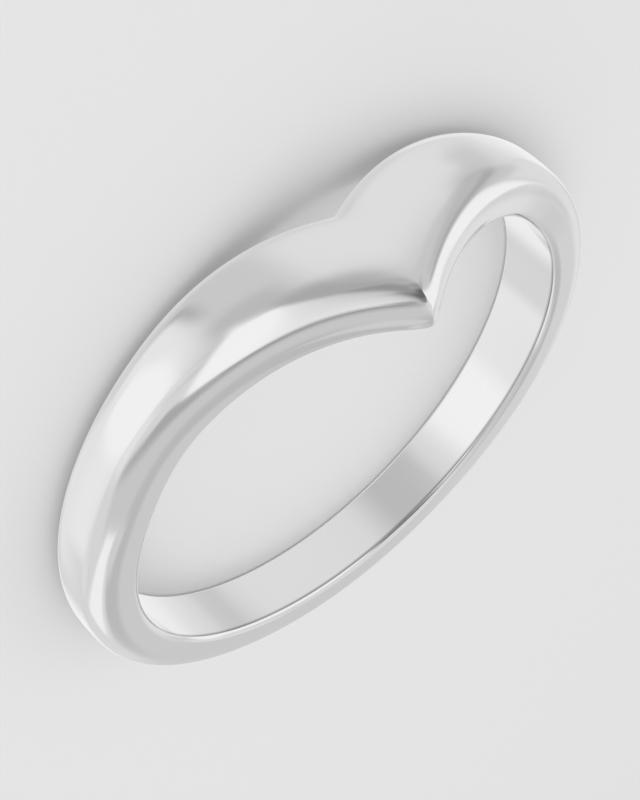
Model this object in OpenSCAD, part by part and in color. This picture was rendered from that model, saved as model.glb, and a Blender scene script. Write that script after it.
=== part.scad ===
// A chevron ring in one piece of polished white metal.
// It lies on its notch side: the finger axis is Z, the floor is Z = 0, and the chevron
// faces -Y with its tip pointing up. The left and right halves are mirror images.
// Lengths are in millimetres. Angles are in degrees around the finger, from the tip.

/* [Finger] */
// Diameter of the finger hole
finger_d = 17.3; // [15:0.1:21]
// Radius that eases the edges of the finger hole
edge_r = 0.2; // [0.1:0.05:0.3]

/* [Band] */
// Thickness of the band from the finger hole to its crown
wall_t = 1.62; // [1.4:0.02:2.4]
// Width of the band at the back of the ring
back_w = 2.14; // [1.7:0.02:3]
// Extra width of the band where the arms turn round the finger
arm_swell = 0.25; // [0:0.01:0.5]
// Radius of the low dome across the outer face
crown_r = 6; // [5:0.5:12]
// Radius of the rounded shoulders of the band
shoulder_r = 0.88; // [0.4:0.02:1.1]

/* [Chevron] */
// Height of the chevron's tip above the floor
tip_h = 5.5; // [4:0.1:8]
// Angle over which the slope below the tip falls to about a third
tip_fade = 24; // [18:0.5:32]
// Radius of the shoulder under the tip's upper edge
tip_shoulder_r = 1.24; // [0.8:0.02:1.4]
// Height of the notch under the chevron
notch_h = 1.22; // [0.6:0.02:2]
// Angle from the middle of the notch to the floor on each side
notch_span = 38; // [30:1:48]
// How hollow the notch's two sides are, where 1 is straight
notch_bend = 2.5; // [1.5:0.05:3]

/* [Hidden] */
metal = [0.82, 0.82, 0.83];
finger_r = finger_d / 2;

// The fine detail of the surface: sections in each half, and steps round each curve
half_sections = 42;
shoulder_steps = 6;
crown_steps = 4;
edge_steps = 3;
// Sections crowd towards the tip by this power
crowding = 1.35;
// Angles that round the point of the tip and of the notch
tip_soft = 1.5;
notch_soft = 0.6;
// Where the arms begin to swell, are widest and have narrowed again
swell_from = 40;
swell_top = 75;
swell_to = 170;
// Where the tip's own shoulder has passed into the band's
tip_shoulder_end = 62;
// The true round wall of the finger hole ends this far under the back's upper edge
bore_top = back_w - edge_r - 0.05;
// Above it the wall goes on in facets, this far outside the true round wall
facet_relief = 0.02;
// The largest share of the band's half width that one shoulder takes
shoulder_share = 0.95;
crown_out = finger_r + wall_t;
crown_axis = crown_out - crown_r;
// Depth of the stock inside the finger hole that the round cut takes away
cut_stock = 0.4;
// How far the round cut runs past the ring below and above
cut_past = 1;
// The round cut and the hole's wall are smooth at this many steps
round_steps = 180;

function smooth(t) = t <= 0 ? 0 : t >= 1 ? 1 : t * t * t * (t * (6 * t - 15) + 10);
function softened(a, s) = sqrt(a * a + s * s) - s;

// Width that the arms gain at an angle from the tip
function swell(a) =
    arm_swell * smooth((a - swell_from) / (swell_top - swell_from))
    * (1 - smooth((a - swell_top) / (swell_to - swell_top)));

// Heights of the ring's upper and lower rims at an angle from the tip
function upper_z(a) =
    back_w + swell(a) + (tip_h - back_w) * exp(-softened(a, tip_soft) / tip_fade);
function lower_z(a) =
    notch_h * pow(max(0, 1 - softened(a, notch_soft) / notch_span), notch_bend);

// Height of the upper shoulder: the sloping arms stretch it, and the tip has a larger one
function upper_shoulder(a) =
    tip_shoulder_r + (shoulder_r - tip_shoulder_r) * smooth(a / tip_shoulder_end);

// Distance from the finger axis to the middle of a shoulder of radius r that lies against
// a rim and against the dome, on a band of half width h, and the angle where it meets the dome
function shoulder_x(r, h) = crown_axis + sqrt(pow(crown_r - r, 2) - pow(h - r, 2));
function shoulder_end(r, h) = atan2(h - r, shoulder_x(r, h) - crown_axis);

// One section through the band, as [distance from the finger axis, height] from the
// lower rim outwards, over the crown, back along the upper rim and down the hole's wall
function section(a) =
    let (
        z0 = lower_z(a),
        z1 = upper_z(a),
        h = (z1 - z0) / 2,
        up = min(upper_shoulder(a), shoulder_share * h),
        down = min(shoulder_r, shoulder_share * h),
        up_x = shoulder_x(up, h),
        down_x = shoulder_x(down, h),
        up_end = shoulder_end(up, h),
        down_end = shoulder_end(down, h)
    ) concat(
        [for (i = [0:shoulder_steps]) let (t = 90 - (90 - down_end) * i / shoulder_steps)
            [down_x + down * cos(t), z0 + down * (1 - sin(t))]],
        [for (i = [1:crown_steps - 1]) let (t = -down_end + (down_end + up_end) * i / crown_steps)
            [crown_axis + crown_r * cos(t), z0 + h + crown_r * sin(t)]],
        [for (i = [0:shoulder_steps]) let (t = up_end + (90 - up_end) * i / shoulder_steps)
            [up_x + up * cos(t), z1 - up * (1 - sin(t))]],
        [for (i = [0:edge_steps]) let (t = 90 * i / edge_steps)
            [finger_r + facet_relief + edge_r * (1 - sin(t)), z1 - edge_r * (1 - cos(t))]],
        [
            [finger_r + facet_relief, bore_top],
            [finger_r - cut_stock, bore_top],
            [finger_r - cut_stock, z0 + edge_r]
        ],
        [for (i = [edge_steps - 1:-1:0]) let (t = 90 * i / edge_steps)
            [finger_r + edge_r * (1 - sin(t)), z0 + edge_r * (1 - cos(t))]]
    );

function section_angle(i) =
    i <= half_sections ? 180 * pow(i / half_sections, crowding)
    : 360 - section_angle(2 * half_sections - i);

function angle_from_tip(a) = a <= 180 ? a : 360 - a;

// The band as a closed loop of sections, joined point to point
module band_stock() {
    angles = [for (i = [0:2 * half_sections - 1]) section_angle(i)];
    rows = [for (a = angles) section(angle_from_tip(a))];
    n = len(rows);
    m = len(rows[0]);
    points = [
        for (i = [0:n - 1]) for (p = rows[i])
            [p[0] * sin(angles[i]), -p[0] * cos(angles[i]), p[1]]
    ];
    faces = [
        for (i = [0:n - 1]) for (k = [0:m - 1])
            let (
                a = i * m + k,
                b = i * m + (k + 1) % m,
                c = ((i + 1) % n) * m + (k + 1) % m,
                d = ((i + 1) % n) * m + k
            ) each [[a, b, c], [a, c, d]]
    ];
    polyhedron(points, faces);
}

module ring() {
    color(metal)
    difference() {
        band_stock();
        translate([0, 0, -cut_past])
            cylinder(r = finger_r, h = tip_h + 2 * cut_past, $fn = round_steps);
    }
}

ring();
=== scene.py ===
# %% [markdown]
# # A chevron ring in polished white gold
#
# The real object is a plain wedding-style band whose front rises into a V. It is one piece of
# metal with no stones, so everything that the eye reads is shape and reflection. The CAD model
# gives the exact solid and the space it fills. This script lays a smooth skin over that solid,
# gives it a polished finish, and lights it as a small object is lit in a studio.

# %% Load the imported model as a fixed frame
import math

import bmesh
import bpy
from mathutils import Matrix, Vector


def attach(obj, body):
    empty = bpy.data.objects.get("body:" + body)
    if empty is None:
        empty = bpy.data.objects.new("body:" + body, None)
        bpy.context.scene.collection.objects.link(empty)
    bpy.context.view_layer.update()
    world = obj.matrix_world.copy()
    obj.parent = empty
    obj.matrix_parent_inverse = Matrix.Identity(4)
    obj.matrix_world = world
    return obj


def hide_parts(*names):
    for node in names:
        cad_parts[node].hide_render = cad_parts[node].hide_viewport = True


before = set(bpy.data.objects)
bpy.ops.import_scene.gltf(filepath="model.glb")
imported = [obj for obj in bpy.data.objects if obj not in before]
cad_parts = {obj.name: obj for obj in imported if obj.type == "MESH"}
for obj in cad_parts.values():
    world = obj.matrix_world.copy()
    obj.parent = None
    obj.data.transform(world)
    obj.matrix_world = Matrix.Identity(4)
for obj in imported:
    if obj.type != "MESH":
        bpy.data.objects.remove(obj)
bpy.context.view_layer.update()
MM = 0.001

# %% [markdown]
# ## The camera
#
# The ring lies flat on the floor on the plain side of its band, with the V pointing up and
# towards -Y. A picture of a ring like this one is taken close, with a long lens, and turned so
# that the ring runs corner to corner. A camera could be placed by hand until the picture looks
# right. Here it goes on a sphere round a point that it looks at, because an azimuth, an
# elevation, a distance and a roll are four numbers that can each be read and changed alone.

# %% Place the camera
CAMERA_AIM = Vector((-0.500, 0.998, 0.0)) * MM
CAMERA_AZIMUTH = math.radians(24.353)
CAMERA_ELEVATION = math.radians(26.451)
CAMERA_ROLL = math.radians(-226.507)
CAMERA_DISTANCE = 63.86 * MM
CAMERA_LENS = 87.97
CLIP_START = 5 * MM
CLIP_END = 10.0


def direction(azimuth, elevation):
    """A unit vector from the ring. Azimuth 0 is the front, -Y, and grows towards +X."""
    flat = math.cos(elevation)
    return Vector((math.sin(azimuth) * flat, -math.cos(azimuth) * flat, math.sin(elevation)))


def looking_at(point, towards, distance, roll=0.0):
    """A matrix that stands off from a point and looks back at it, turned by a roll."""
    level = (-towards).cross(Vector((0, 0, 1))).normalized()
    upright = level.cross(-towards)
    right = math.cos(roll) * level + math.sin(roll) * upright
    up = math.cos(roll) * upright - math.sin(roll) * level
    place = point + towards * distance
    turn = Matrix((right, up, towards)).transposed().to_4x4()
    return Matrix.Translation(place) @ turn


camera_data = bpy.data.cameras.new("product_camera")
camera_data.lens = CAMERA_LENS
camera_data.clip_start = CLIP_START
camera_data.clip_end = CLIP_END
camera = bpy.data.objects.new("product_camera", camera_data)
camera.matrix_world = looking_at(
    CAMERA_AIM, direction(CAMERA_AZIMUTH, CAMERA_ELEVATION), CAMERA_DISTANCE, CAMERA_ROLL
)
bpy.context.scene.collection.objects.link(camera)
bpy.context.scene.camera = camera
print("camera height above the floor in mm", round(camera.location.z / MM, 1))

# %% [markdown]
# ## The shape of the band
#
# A goldsmith starts from a length of D-shaped wire, rolls it into a hoop and then files the two
# rims into the V. The same order works in Blender: a closed section, a full spin, and a move of
# each vertex to where the filing leaves it. Sculpting would give the V as well, but the rims
# would wobble, and a mirror finish shows every wobble.

# %% The sizes of the ring, with places round the finger in degrees from the tip
FINGER_R = 8.65 * MM
WALL = 1.62 * MM
BACK_WIDTH = 2.14 * MM
EDGE_ACROSS = 0.2 * MM
EDGE_DOWN = 0.14 * MM
EDGE_FLATNESS = 0.6
WALL_CROWDING = 0.9
ARM_SWELL = 0.25 * MM
SWELL_STARTS, SWELL_FULL, SWELL_ENDS = 40, 75, 170
CROWN_R = 6.0 * MM
SHOULDER_R = 0.88 * MM
SHOULDER_SHARE = 0.95
TIP_SHOULDER_R = 1.24 * MM
TIP_SHOULDER_ENDS = 62
TIP_HEIGHT = 5.5 * MM
TIP_FADE = 24.0
NOTCH_HEIGHT = 1.22 * MM
NOTCH_SPAN = 38.0
NOTCH_BEND = 2.5
TIP_SOFT = 1.5
NOTCH_SOFT = 0.6
CREASE_SOFT = 0.12
BACK = 180
CROWN_AXIS = FINGER_R + WALL - CROWN_R
print("outside diameter in mm", round(2 * (FINGER_R + WALL) / MM, 2))

# %% How the rims run round the ring


def ease(share):
    """0 to 1 with a level start and end."""
    share = min(1.0, max(0.0, share))
    return share**3 * (share * (6 * share - 15) + 10)


def rounded(angle, softness):
    """The size of an angle, with its corner at the tip taken off."""
    return math.sqrt(angle * angle + softness * softness) - softness


def crisp(angle):
    """The same size far from the tip, with an edge left standing at the tip itself."""
    angle = rounded(angle, CREASE_SOFT)
    return angle - TIP_SOFT * (1 - math.exp(-angle / (2 * TIP_SOFT)))


def tip_rim(angle, sharpness=0.0):
    """Height of the rim that carries the tip, at so many degrees from the tip."""
    away = rounded(angle, TIP_SOFT) * (1 - sharpness) + crisp(angle) * sharpness
    grown = ease((angle - SWELL_STARTS) / (SWELL_FULL - SWELL_STARTS))
    gone = ease((angle - SWELL_FULL) / (SWELL_ENDS - SWELL_FULL))
    rise = (TIP_HEIGHT - BACK_WIDTH) * math.exp(-away / TIP_FADE)
    return BACK_WIDTH + ARM_SWELL * grown * (1 - gone) + rise


def notch_rim(angle):
    """Height of the rim that rests on the floor, apart from its notch under the tip."""
    return NOTCH_HEIGHT * max(0.0, 1 - rounded(angle, NOTCH_SOFT) / NOTCH_SPAN) ** NOTCH_BEND


def tip_shoulder(angle):
    """Radius of the rounded shoulder on the tip side, fuller towards the tip."""
    return TIP_SHOULDER_R + (SHOULDER_R - TIP_SHOULDER_R) * ease(angle / TIP_SHOULDER_ENDS)


for angle in (0, 20, 45, 90, BACK):
    print(angle, "degrees: rims at", *(round(f(angle) / MM, 2) for f in (notch_rim, tip_rim)))

# %% [markdown]
# The section of the band is a soft D: a shallow crown on the outside, two rounded shoulders,
# two flat sides, and a straight wall towards the finger with a soft bevel at each edge. Each
# part of it has a number and a share of the vertices, and more go where the surface turns
# quickly. A place along the section is a station: the number of its part, plus how far through
# the part it is, from 0 to 1.

# %% One section of the band
NOTCH_SHOULDER, CROWN, TIP_SHOULDER, TIP_SIDE, TIP_EDGE, FINGER_WALL, NOTCH_EDGE, NOTCH_SIDE = range(8)
POINTS_IN_PART = {
    NOTCH_SHOULDER: 26,
    CROWN: 30,
    TIP_SHOULDER: 42,
    TIP_SIDE: 8,
    TIP_EDGE: 14,
    FINGER_WALL: 20,
    NOTCH_EDGE: 14,
    NOTCH_SIDE: 6,
}
SECTION_POINTS = sum(POINTS_IN_PART.values())
CRISP_STARTS, CRISP_IN = TIP_SHOULDER, 0.3
CRISP_FADES, CRISP_OUT = TIP_SHOULDER + 0.7, 1.6
QUARTER_TURN = math.pi / 2


def shoulder_seat(radius, half_width):
    """Where a shoulder's centre lies so that it meets the crown and the flat side smoothly."""
    out = CROWN_AXIS + math.sqrt((CROWN_R - radius) ** 2 - (half_width - radius) ** 2)
    return out, math.atan2(half_width - radius, out - CROWN_AXIS)


def crispness(station):
    """How sharp the fold at the tip is: soft on the crown, crisp on the shoulder."""
    return ease((station - CRISP_STARTS) / CRISP_IN) * (1 - ease((station - CRISP_FADES) / CRISP_OUT))


def bevel(share):
    """How far a bevel has come across, and how far down, at a share of its way.

    With a flatness of 1 it would be a straight cut, and with 0 a round.
    """
    turn = QUARTER_TURN * share
    across = share + (math.sin(turn) - share) * (1 - EDGE_FLATNESS)
    down = share + (1 - math.cos(turn) - share) * (1 - EDGE_FLATNESS)
    return across * EDGE_ACROSS, down * EDGE_DOWN


def wall_share(share):
    """How far down the finger wall a share of its points has come, with most near its edges."""
    return share - WALL_CROWDING * math.sin(math.tau * share) / math.tau


def section_point(station, angle):
    """Radius and height of the point at a station of the section, so many degrees from the tip."""
    low, high = notch_rim(angle), tip_rim(angle, crispness(station))
    half = (high - low) / 2
    up = min(tip_shoulder(angle), SHOULDER_SHARE * half)
    under = min(SHOULDER_R, SHOULDER_SHARE * half)
    up_out, up_end = shoulder_seat(up, half)
    under_out, under_end = shoulder_seat(under, half)
    part = int(station)
    share = station - part
    edge = FINGER_R + EDGE_ACROSS
    if part == NOTCH_SHOULDER:
        turn = QUARTER_TURN + (under_end - QUARTER_TURN) * share
        return under_out + under * math.cos(turn), low + under * (1 - math.sin(turn))
    if part == CROWN:
        turn = -under_end + (up_end + under_end) * share
        return CROWN_AXIS + CROWN_R * math.cos(turn), low + half + CROWN_R * math.sin(turn)
    if part == TIP_SHOULDER:
        turn = up_end + (QUARTER_TURN - up_end) * share
        return up_out + up * math.cos(turn), high - up * (1 - math.sin(turn))
    if part == TIP_SIDE:
        return up_out + (edge - up_out) * share, high
    if part == TIP_EDGE:
        across, down = bevel(share)
        return edge - across, high - down
    if part == FINGER_WALL:
        return FINGER_R, high - EDGE_DOWN + (low - high + 2 * EDGE_DOWN) * wall_share(share)
    if part == NOTCH_EDGE:
        across, down = bevel(1 - share)
        return edge - across, low + down
    return edge + (under_out - edge) * share, low


print("points in a section", SECTION_POINTS)
print("section at the back:", *(
    tuple(round(x / MM, 2) for x in section_point(part, BACK)) for part in POINTS_IN_PART
))

# %% [markdown]
# A circle of wire is the start. Each of its points is told its station, in a layer that every
# later copy keeps, and is moved to that place of the section at the back. The wire is then spun
# once round the finger, with the last copy merged into the first. A spin gets slow with many
# steps, so it takes wide steps, and the edges that run round the finger are cut after it.

# %% Draw the wire and spin it into a hoop
HOOP_STEPS = 140
CUTS = 3
SAME_STATION = 1e-6
hoop = bmesh.new()
station_layer = hoop.verts.layers.float.new("station")
bmesh.ops.create_circle(hoop, cap_ends=False, radius=1 * MM, segments=SECTION_POINTS)
ring_of_points = iter(hoop.verts)
for part, count in POINTS_IN_PART.items():
    for number in range(count):
        vertex = next(ring_of_points)
        vertex[station_layer] = part + number / count
        radius, height = section_point(vertex[station_layer], BACK)
        vertex.co = (0, -radius, height)
bmesh.ops.spin(
    hoop,
    geom=hoop.verts[:] + hoop.edges[:],
    cent=(0, 0, 0),
    axis=(0, 0, 1),
    angle=math.tau,
    steps=HOOP_STEPS,
    use_merge=True,
)
print("after the spin:", len(hoop.verts), "vertices")


def runs_round(edge):
    """True for an edge between two sections, and not for one along a section."""
    return abs(edge.verts[0][station_layer] - edge.verts[1][station_layer]) < SAME_STATION


bmesh.ops.subdivide_edges(
    hoop, edges=[edge for edge in hoop.edges if runs_round(edge)], cuts=CUTS, use_grid_fill=True
)
print("hoop:", len(hoop.verts), "vertices,", len(hoop.faces), "faces")

# %% [markdown]
# The V turns within a degree or two, so the sections crowd together there and thin out towards
# the back. A power of the angle does that without a jump in the spacing. The same cell marks
# the points of the finger wall where a dark line of painted shade goes, just inside its edge.

# %% File the hoop into the chevron
CROWDING = 1.35
LINE_IN, LINE_FADES, LINE_OUT = 0.08, 0.11, 0.08
MERGE_DISTANCE = 0.0001 * MM


def painted_shade_line(station):
    """Painted shade: 1 on the finger wall just inside its edge on the tip side, and 0 elsewhere."""
    inward = station - FINGER_WALL
    return ease(inward / LINE_IN) * (1 - ease((inward - LINE_FADES) / LINE_OUT))


# The layer marks where the painted shade line goes on the finger wall.
shade_line_layer = hoop.verts.layers.float.new("painted_shade_line")
for vertex in hoop.verts:
    if int(vertex[station_layer]) == FINGER_WALL:
        vertex[shade_line_layer] = painted_shade_line(vertex[station_layer])
    plain = math.degrees(math.atan2(vertex.co.x, -vertex.co.y))
    angle = math.copysign(BACK * (abs(plain) / BACK) ** CROWDING, plain)
    radius, height = section_point(vertex[station_layer], abs(angle))
    turn = math.radians(angle)
    vertex.co = (radius * math.sin(turn), -radius * math.cos(turn), height)
bmesh.ops.remove_doubles(hoop, verts=hoop.verts[:], dist=MERGE_DISTANCE)
bmesh.ops.recalc_face_normals(hoop, faces=hoop.faces[:])
for face in hoop.faces:
    face.smooth = True
open_edges = sum(1 for edge in hoop.edges if not edge.is_manifold)
print("volume in cubic mm", round(hoop.calc_volume(signed=True) / MM**3, 2), "open edges", open_edges)
skin_mesh = bpy.data.meshes.new("polished_band")
hoop.to_mesh(skin_mesh)
hoop.free()
band = bpy.data.objects.new("polished_band", skin_mesh)
bpy.context.scene.collection.objects.link(band)
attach(band, "root")
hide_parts("ring")

# %% [markdown]
# ## The finish
#
# White gold is a grey metal that a polishing wheel brings to a mirror. What is left on the real
# ring is slight: a haze that is a little stronger in some places, and hair lines that run the way
# the wheel went. On top of these, a dark line of painted shade runs round the top of the finger
# wall, standing in for the shade of that edge. All three could be painted as pictures. Noise
# that is read in the ring's own coordinates needs no picture and has no seam, and the dark line
# follows the layer that the hoop's cell stored on the mesh.

# %% A small class for shader maths


class Socket:
    """Wraps one output socket, so that shader maths can be written as plain sums."""

    def __init__(self, tree, socket):
        self.tree = tree
        self.socket = socket

    def math(self, operation, *values):
        return Nodes(self.tree).math(operation, *values)

    def __add__(self, other):
        return self.math("ADD", self, other)

    def __radd__(self, other):
        return self.math("ADD", other, self)

    def __sub__(self, other):
        return self.math("SUBTRACT", self, other)

    def __rsub__(self, other):
        return self.math("SUBTRACT", other, self)

    def __mul__(self, other):
        return self.math("MULTIPLY", self, other)

    def __rmul__(self, other):
        return self.math("MULTIPLY", other, self)

    def __truediv__(self, other):
        return self.math("DIVIDE", self, other)

    def __rtruediv__(self, other):
        return self.math("DIVIDE", other, self)


class Nodes:
    """Makes nodes in one tree: a type, its settings, then values or links for its sockets."""

    def __init__(self, tree):
        self.tree = tree

    def math(self, operation, *values):
        return self.make("ShaderNodeMath", {"operation": operation}, list(values))

    def make(self, kind, settings=None, sockets=None, output=0):
        node = self.tree.nodes.new(kind)
        for name, value in (settings or {}).items():
            setattr(node, name, value)
        pairs = enumerate(sockets) if isinstance(sockets, list) else (sockets or {}).items()
        for key, value in pairs:
            if isinstance(value, Socket):
                self.tree.links.new(value.socket, node.inputs[key])
            else:
                node.inputs[key].default_value = value
        return Socket(self.tree, node.outputs[output]) if node.outputs else node


def new_material(name):
    """An empty node material, and the helper that fills it."""
    material = bpy.data.materials.new(name)
    material.use_nodes = True
    material.node_tree.nodes.clear()
    return material, Nodes(material.node_tree)


# %% [markdown]
# The hair lines run round the finger, so their noise changes fast with the radius and the
# height and slowly with the way round. Two of its four inputs are the way round, as a point on
# a circle, so there is no seam where the angle starts again. The lines are about a tenth of a
# thousandth of a millimetre deep: too little to see as scratches, and enough to soften a
# reflection.

# %% Polished white gold
GOLD = (0.86, 0.86, 0.865, 1)
# Dark grey of the painted shade line at the top edge of the finger wall.
SHADE_LINE_GREY = (0.30, 0.30, 0.305, 1)
ROUGHNESS = 0.085
HAZE_ROUGHNESS = 0.03
HAIR_ROUGHNESS = 0.02
HAZE_PER_M = 700.0
HAIR_PER_M = 9000.0
HAIR_WAY_ROUND = 6.0
HAIR_DEPTH = 0.00012 * MM
gold, make = new_material("polished_white_gold")
place = make.make("ShaderNodeTexCoord", output="Object")
haze = make.make("ShaderNodeTexNoise", {}, {"Vector": place, "Scale": HAZE_PER_M, "Detail": 3.0})
split = make.make("ShaderNodeSeparateXYZ", {}, {"Vector": place}).socket.node
x, y, height = (Socket(gold.node_tree, split.outputs[axis]) for axis in "XYZ")
radius = make.math("SQRT", x * x + y * y)
round_and_up = make.make(
    "ShaderNodeCombineXYZ",
    {},
    [x / radius * HAIR_WAY_ROUND, y / radius * HAIR_WAY_ROUND, height * HAIR_PER_M],
)
hair = make.make(
    "ShaderNodeTexNoise",
    {"noise_dimensions": "4D"},
    {"Vector": round_and_up, "W": radius * HAIR_PER_M, "Scale": 1.0, "Detail": 2.0},
)
relief = make.make("ShaderNodeBump", {}, {"Height": hair, "Strength": 1.0, "Distance": HAIR_DEPTH})
# Painted shade: a dark line mixed into the colour along the top edge of the finger wall.
shade_line_mask = make.make("ShaderNodeAttribute", {"attribute_name": "painted_shade_line"}, output="Fac")
tone = make.make(
    "ShaderNodeMix", {"data_type": "RGBA"}, {0: shade_line_mask, 6: GOLD, 7: SHADE_LINE_GREY}, output=2
)
surface = make.make(
    "ShaderNodeBsdfPrincipled",
    {},
    {
        "Base Color": tone,
        "Metallic": 1.0,
        "Roughness": ROUGHNESS + HAZE_ROUGHNESS * haze + HAIR_ROUGHNESS * hair,
        "Normal": relief,
    },
)
make.make("ShaderNodeOutputMaterial", {}, {"Surface": surface})
band.data.materials.append(gold)
print("material", gold.name, "nodes", len(gold.node_tree.nodes))

# %% [markdown]
# ## The floor
#
# A sheet of pale card. It is left out of what the metal mirrors. The studio that is drawn below
# has its own light from below, and with the card in the reflections as well, the ring would
# show two floors.

# %% The floor
FLOOR_HALF = 1.5
CARD_TONE = 0.8
CARD_ROUGHNESS = 0.9
floor_bm = bmesh.new()
bmesh.ops.create_grid(floor_bm, x_segments=2, y_segments=2, size=FLOOR_HALF)
floor_mesh = bpy.data.meshes.new("floor")
floor_bm.to_mesh(floor_mesh)
floor_bm.free()
floor = bpy.data.objects.new("floor", floor_mesh)
bpy.context.scene.collection.objects.link(floor)
floor.visible_glossy = False
card, make = new_material("pale_card")
card_surface = make.make(
    "ShaderNodeBsdfPrincipled",
    {},
    {
        "Base Color": (CARD_TONE, CARD_TONE, CARD_TONE, 1),
        "Roughness": CARD_ROUGHNESS,
        "Specular IOR Level": 0.0,
    },
)
make.make("ShaderNodeOutputMaterial", {}, {"Surface": card_surface})
floor.data.materials.append(card)
print("floor of", 2 * FLOOR_HALF, "m a side")

# %% [markdown]
# ## The studio light
#
# A polished ring has no look of its own. It shows the room, so the room is what is lit. A small
# object like this stands in a tent of white cloth, with soft boxes behind the cloth and a few
# darker cards that give the metal its lines. Area lights could stand in for each box. The
# world's own nodes can hold the whole tent, with soft edges and without noise, and they cost
# the render nothing more when another panel is hung. Where each panel hangs is worked out
# from the ring: a bright or dark patch on the metal, and the way the metal faces there, give
# the direction that it mirrors.

# %% The cloth of the tent
SCENE = bpy.context.scene
SCENE.view_settings.view_transform = "Standard"
SCENE.view_settings.look = "None"
METAL_TONE = 0.86
world = bpy.data.worlds.new("studio")
SCENE.world = world
world.use_nodes = True
world.node_tree.nodes.clear()
tent = Nodes(world.node_tree)
outward = tent.make("ShaderNodeTexCoord", output="Generated")


def strength(grey):
    """The light that polished metal shows as this grey, out of 255, on an sRGB screen."""
    return ((grey / 255 + 0.055) / 1.055) ** 2.4 / METAL_TONE


def along(axis):
    """How far the direction looked at runs along an axis."""
    return tent.make(
        "ShaderNodeVectorMath", {"operation": "DOT_PRODUCT"}, [outward, axis], output="Value"
    )


def falls(value, full, none):
    """1 where the value is under full, 0 where it is over none, and smooth between."""
    return tent.make(
        "ShaderNodeMapRange",
        {"interpolation_type": "SMOOTHSTEP"},
        {"Value": value, "From Min": none, "From Max": full, "To Min": 0.0, "To Max": 1.0},
    )


CLOTH_GREY = 197
LOW_CLOTH_GREY = 210
LOW_CLOTH_FULL, LOW_CLOTH_ENDS = math.radians(-26), math.radians(-8)
height_of_view = tent.math("ARCSINE", along(Vector((0, 0, 1))))
low_down = falls(height_of_view, LOW_CLOTH_FULL, LOW_CLOTH_ENDS)
light = strength(CLOTH_GREY) + low_down * (strength(LOW_CLOTH_GREY) - strength(CLOTH_GREY))
print("cloth", round(strength(CLOTH_GREY), 3), "low down", round(strength(LOW_CLOTH_GREY), 3))

# %% [markdown]
# Each panel has a name, a grey, the azimuth and elevation of its middle, a tilt, a half width,
# a half height, and how wide its soft edge is at the sides and at the ends. All but the name and
# the grey are in degrees. A panel is painted over what hangs behind it, so the order is from the
# back of the tent to the front. A lamp is the same with an oval outline.

# %% Panels and round lamps


def panel_axes(azimuth, elevation, tilt):
    """How far the direction looked at runs to a panel's side, to its end and towards it."""
    towards = direction(math.radians(azimuth), math.radians(elevation))
    stand = looking_at(Vector((0, 0, 0)), towards, 1.0, math.radians(tilt))
    return along(stand.col[0].xyz), along(stand.col[1].xyz), along(towards)


def soft_step(value, size, edge):
    """1 inside a half size given in degrees and 0 outside it, across a soft edge."""
    return falls(value, math.radians(size - edge / 2), math.radians(size + edge / 2))


def painted(light, name, mask, grey):
    """The light so far, with this grey where the mask is 1. The node carries the name."""
    mask.socket.node.label = name
    return light + mask * (strength(grey) - light)


def panel(light, name, grey, azimuth, elevation, tilt, half_width, half_height, edges):
    """Paints one panel with straight sides over the light so far."""
    side, end, ahead = panel_axes(azimuth, elevation, tilt)
    across = tent.math("ABSOLUTE", tent.math("ARCTAN2", side, ahead))
    upward = tent.math("ABSOLUTE", tent.math("ARCTAN2", end, ahead))
    mask = soft_step(across, half_width, edges[0]) * soft_step(upward, half_height, edges[1])
    return painted(light, name, mask, grey)


def lamp(light, name, grey, azimuth, elevation, half_width, half_height, edge):
    """Paints one oval over the light so far. Its edge is measured where it is narrowest."""
    side, end, ahead = panel_axes(azimuth, elevation, 0.0)
    across = tent.math("ARCTAN2", side, ahead) * math.degrees(1 / half_width)
    upward = tent.math("ARCTAN2", end, ahead) * math.degrees(1 / half_height)
    reach = tent.math("SQRT", across * across + upward * upward)
    soft = edge / min(half_width, half_height) / 2
    return painted(light, name, falls(reach, 1 - soft, 1 + soft), grey)


print("nodes before the panels", len(world.node_tree.nodes))

# %% [markdown]
# The cloth is not even: a light above makes the roof pale, and the folds behind are a little
# greyer than the rest. These are what the flat side of the band mirrors, and the edge of the
# shoulder beside it.

# %% The roof and the back
light = lamp(light, "pale roof", 214, -90, 78, 26, 26, 20)
light = panel(light, "haze behind", 207, -146, 12, 0, 10, 13, (6, 8))
light = panel(light, "haze behind, higher", 217, -124, 38, 0, 11, 16, (8, 10))
light = panel(light, "narrow fold behind", 199, -167, 20, 0, 9, 16, (6, 14))
light = panel(light, "wide fold behind", 184, 172, 38, 0, 16, 22, (14, 16))
print("nodes with the roof and the back", len(world.node_tree.nodes))

# %% [markdown]
# Under the ring the studio's table throws light back up. The finger wall stands upright and is
# seen from above, so it shows this part alone: bright where the lamp stands, grey where the
# table ends.

# %% The light from below
light = panel(light, "low glow, left", 228, -116, -38, 0, 9, 14, (10, 12))
light = lamp(light, "low glow, front", 222, -43, -38, 47, 22, 34)
light = panel(light, "grey table end", 200, 17, -54, 0, 17, 40, (14, 16))
light = panel(light, "shade over the table end", 185, 21, -23, 0, 12, 7, (10, 8))
light = lamp(light, "glow round the low lamp", 229, 71, -38, 28, 28, 16)
light = panel(light, "gap beside the low lamp", 172, 34.5, -55, 10, 2.8, 17, (6, 14))
light = panel(light, "low strip behind", 233, -155, -28, 0, 32, 8, (16, 8))
print("nodes with the light from below", len(world.node_tree.nodes))

# %% [markdown]
# On the right hangs a narrow soft box, turned. The shoulder of the band mirrors it where the
# near arm turns to the back. The low lamp makes the bright patches on the outside of that arm
# and on the finger wall, and the dark card between the box and the key makes the grey shade
# under the highlight of the V.

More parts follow.
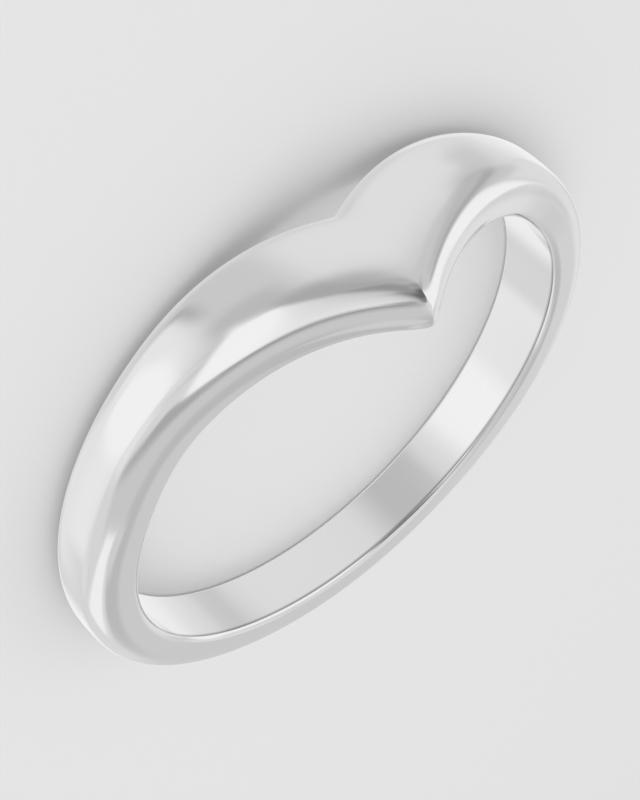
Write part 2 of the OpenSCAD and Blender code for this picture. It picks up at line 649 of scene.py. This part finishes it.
# %% The right side
light = panel(light, "dark card right of the key", 166, 81.5, 34, 6, 5, 40, (16, 14))
light = panel(light, "low haze", 218, 102, -15, 0, 56, 10, (22, 12))
light = panel(light, "end of the haze", 212, 168, -4, 0, 14, 13, (10, 10))
light = panel(light, "haze by the key", 211, 67.7, 6, 42, 14, 30, (12, 16))
light = panel(light, "haze by the right box", 212, 110.5, 0.5, 27, 24, 14, (14, 12))
light = panel(light, "glow round the right box", 211, 146, 13, 37, 18, 30, (6, 10))
light = panel(light, "glow over the low lamp", 226, 77, -8, 0, 12, 10, (12, 12))
light = panel(light, "low glow, right", 226, 124, -46, 0, 26, 17, (18, 14))
light = panel(light, "low strip, right", 231, 108, -28, 0, 22, 7, (10, 10))
light = lamp(light, "low lamp", 241, 70, -29, 18, 13, 6)
light = panel(light, "right box", 237, 143.2, 17.5, 37, 11, 23, (7, 5))
light = panel(light, "glow over the right box", 204, 153, 41, 0, 9, 8, (8, 8))
print("nodes with the right side", len(world.node_tree.nodes))

# %% [markdown]
# On the left hangs a wide soft box in two parts, low and high. The right arm of the V mirrors
# the low part, and the bevel of the finger hole the high one. The cards beside it keep the
# face next to the tip grey.

# %% The left side
light = panel(light, "glow behind the left box", 219, -134, 3, 0, 14, 12, (8, 12))
light = panel(light, "haze under the left box", 217, -113, -5, 0, 11.5, 14, (10, 8))
light = panel(light, "low corner", 201, -88, -26, 0, 8, 6, (10, 8))
light = panel(light, "grey card", 184, -80, -3, 0, 10.5, 19, (14, 10))
light = panel(light, "dark edge of the grey card", 168, -85.5, 7, -6, 3.2, 20, (5, 12))
light = panel(light, "left box, low", 239, -105.5, 22, 0, 14, 11, (5, 5))
light = panel(light, "left box, high", 239, -66, 46, 26, 36, 13, (10, 9))
light = panel(light, "slanted card under the left box", 168, -30, 34, 28, 26, 7, (16, 10))
print("nodes with the left side", len(world.node_tree.nodes))

# %% [markdown]
# The key soft box stands near the camera. It makes the broad highlight that runs along the V,
# and the dark cards beside it make the V read as a fold: without them the tip would melt into
# the crown. The narrow one is painted last. It draws the fine line under the highlight.

# %% The front, with the key
light = panel(light, "grey front", 174, 1, 1, 0, 12, 18, (14, 12))
light = panel(light, "grey card at the tip", 152, -4, 36, 0, 12, 14, (16, 16))
light = panel(light, "dark card at the tip", 100, 8, 54, 0, 13, 14, (10, 10))
light = panel(light, "glow beside the key", 221, 38.6, 25.6, -30, 12.5, 35, (11, 10))
light = panel(light, "key box", 241, 41.6, 18.6, -30, 11.2, 40, (6, 6))
light = panel(light, "dark card left of the key", 146, 12, 27, -12, 4.5, 21, (5, 14))
light = panel(light, "foot of the dark card", 167, 8, -4, 0, 8, 14, (6, 8))
light = panel(light, "card at the key's corner", 166, 74, 37.5, -4, 6, 15, (5, 6))
light = panel(light, "card over the key", 160, 60, 62, 42, 4.5, 4, (4, 1))
light = panel(light, "dark card over the key", 120, 25, 70, 0, 8, 5, (10, 8))
light = panel(light, "narrow dark card by the key", 138, 71, 57, -12, 1.2, 6, (3, 4))
print("nodes with the front", len(world.node_tree.nodes))

# %% [markdown]
# The camera itself sees a plain backdrop and not the panels: a product picture has the tent cut
# away behind the object. The tent lights the floor too, but from all sides, so a large soft
# light above gives the ring its one shadow.

# %% Close the tent
BACKDROP = 0.86
seen = tent.make("ShaderNodeLightPath", output="Is Camera Ray")
shown = light + seen * (BACKDROP - light)
sky = tent.make("ShaderNodeBackground", {}, {"Color": (1, 1, 1, 1), "Strength": shown})
tent.make("ShaderNodeOutputWorld", {}, {"Surface": sky})
world.cycles.sampling_method = "MANUAL"
world.cycles.sample_map_resolution = 512
print("tent nodes", len(world.node_tree.nodes))

# %% A soft light for the floor alone
TOP_AZIMUTH = math.radians(60)
TOP_ELEVATION = math.radians(74)
TOP_DISTANCE = 0.5
TOP_WIDTH = 0.7
TOP_WATTS = 1.1
top_data = bpy.data.lights.new("floor_light", "AREA")
top_data.shape = "DISK"
top_data.size = TOP_WIDTH
top_data.energy = TOP_WATTS
top_light = bpy.data.objects.new("floor_light", top_data)
top_light.matrix_world = looking_at(
    Vector((0, 0, 0)), direction(TOP_AZIMUTH, TOP_ELEVATION), TOP_DISTANCE
)
top_light.visible_camera = False
top_light.visible_glossy = False
SCENE.collection.objects.link(top_light)
print("floor light", TOP_WIDTH, "m wide")
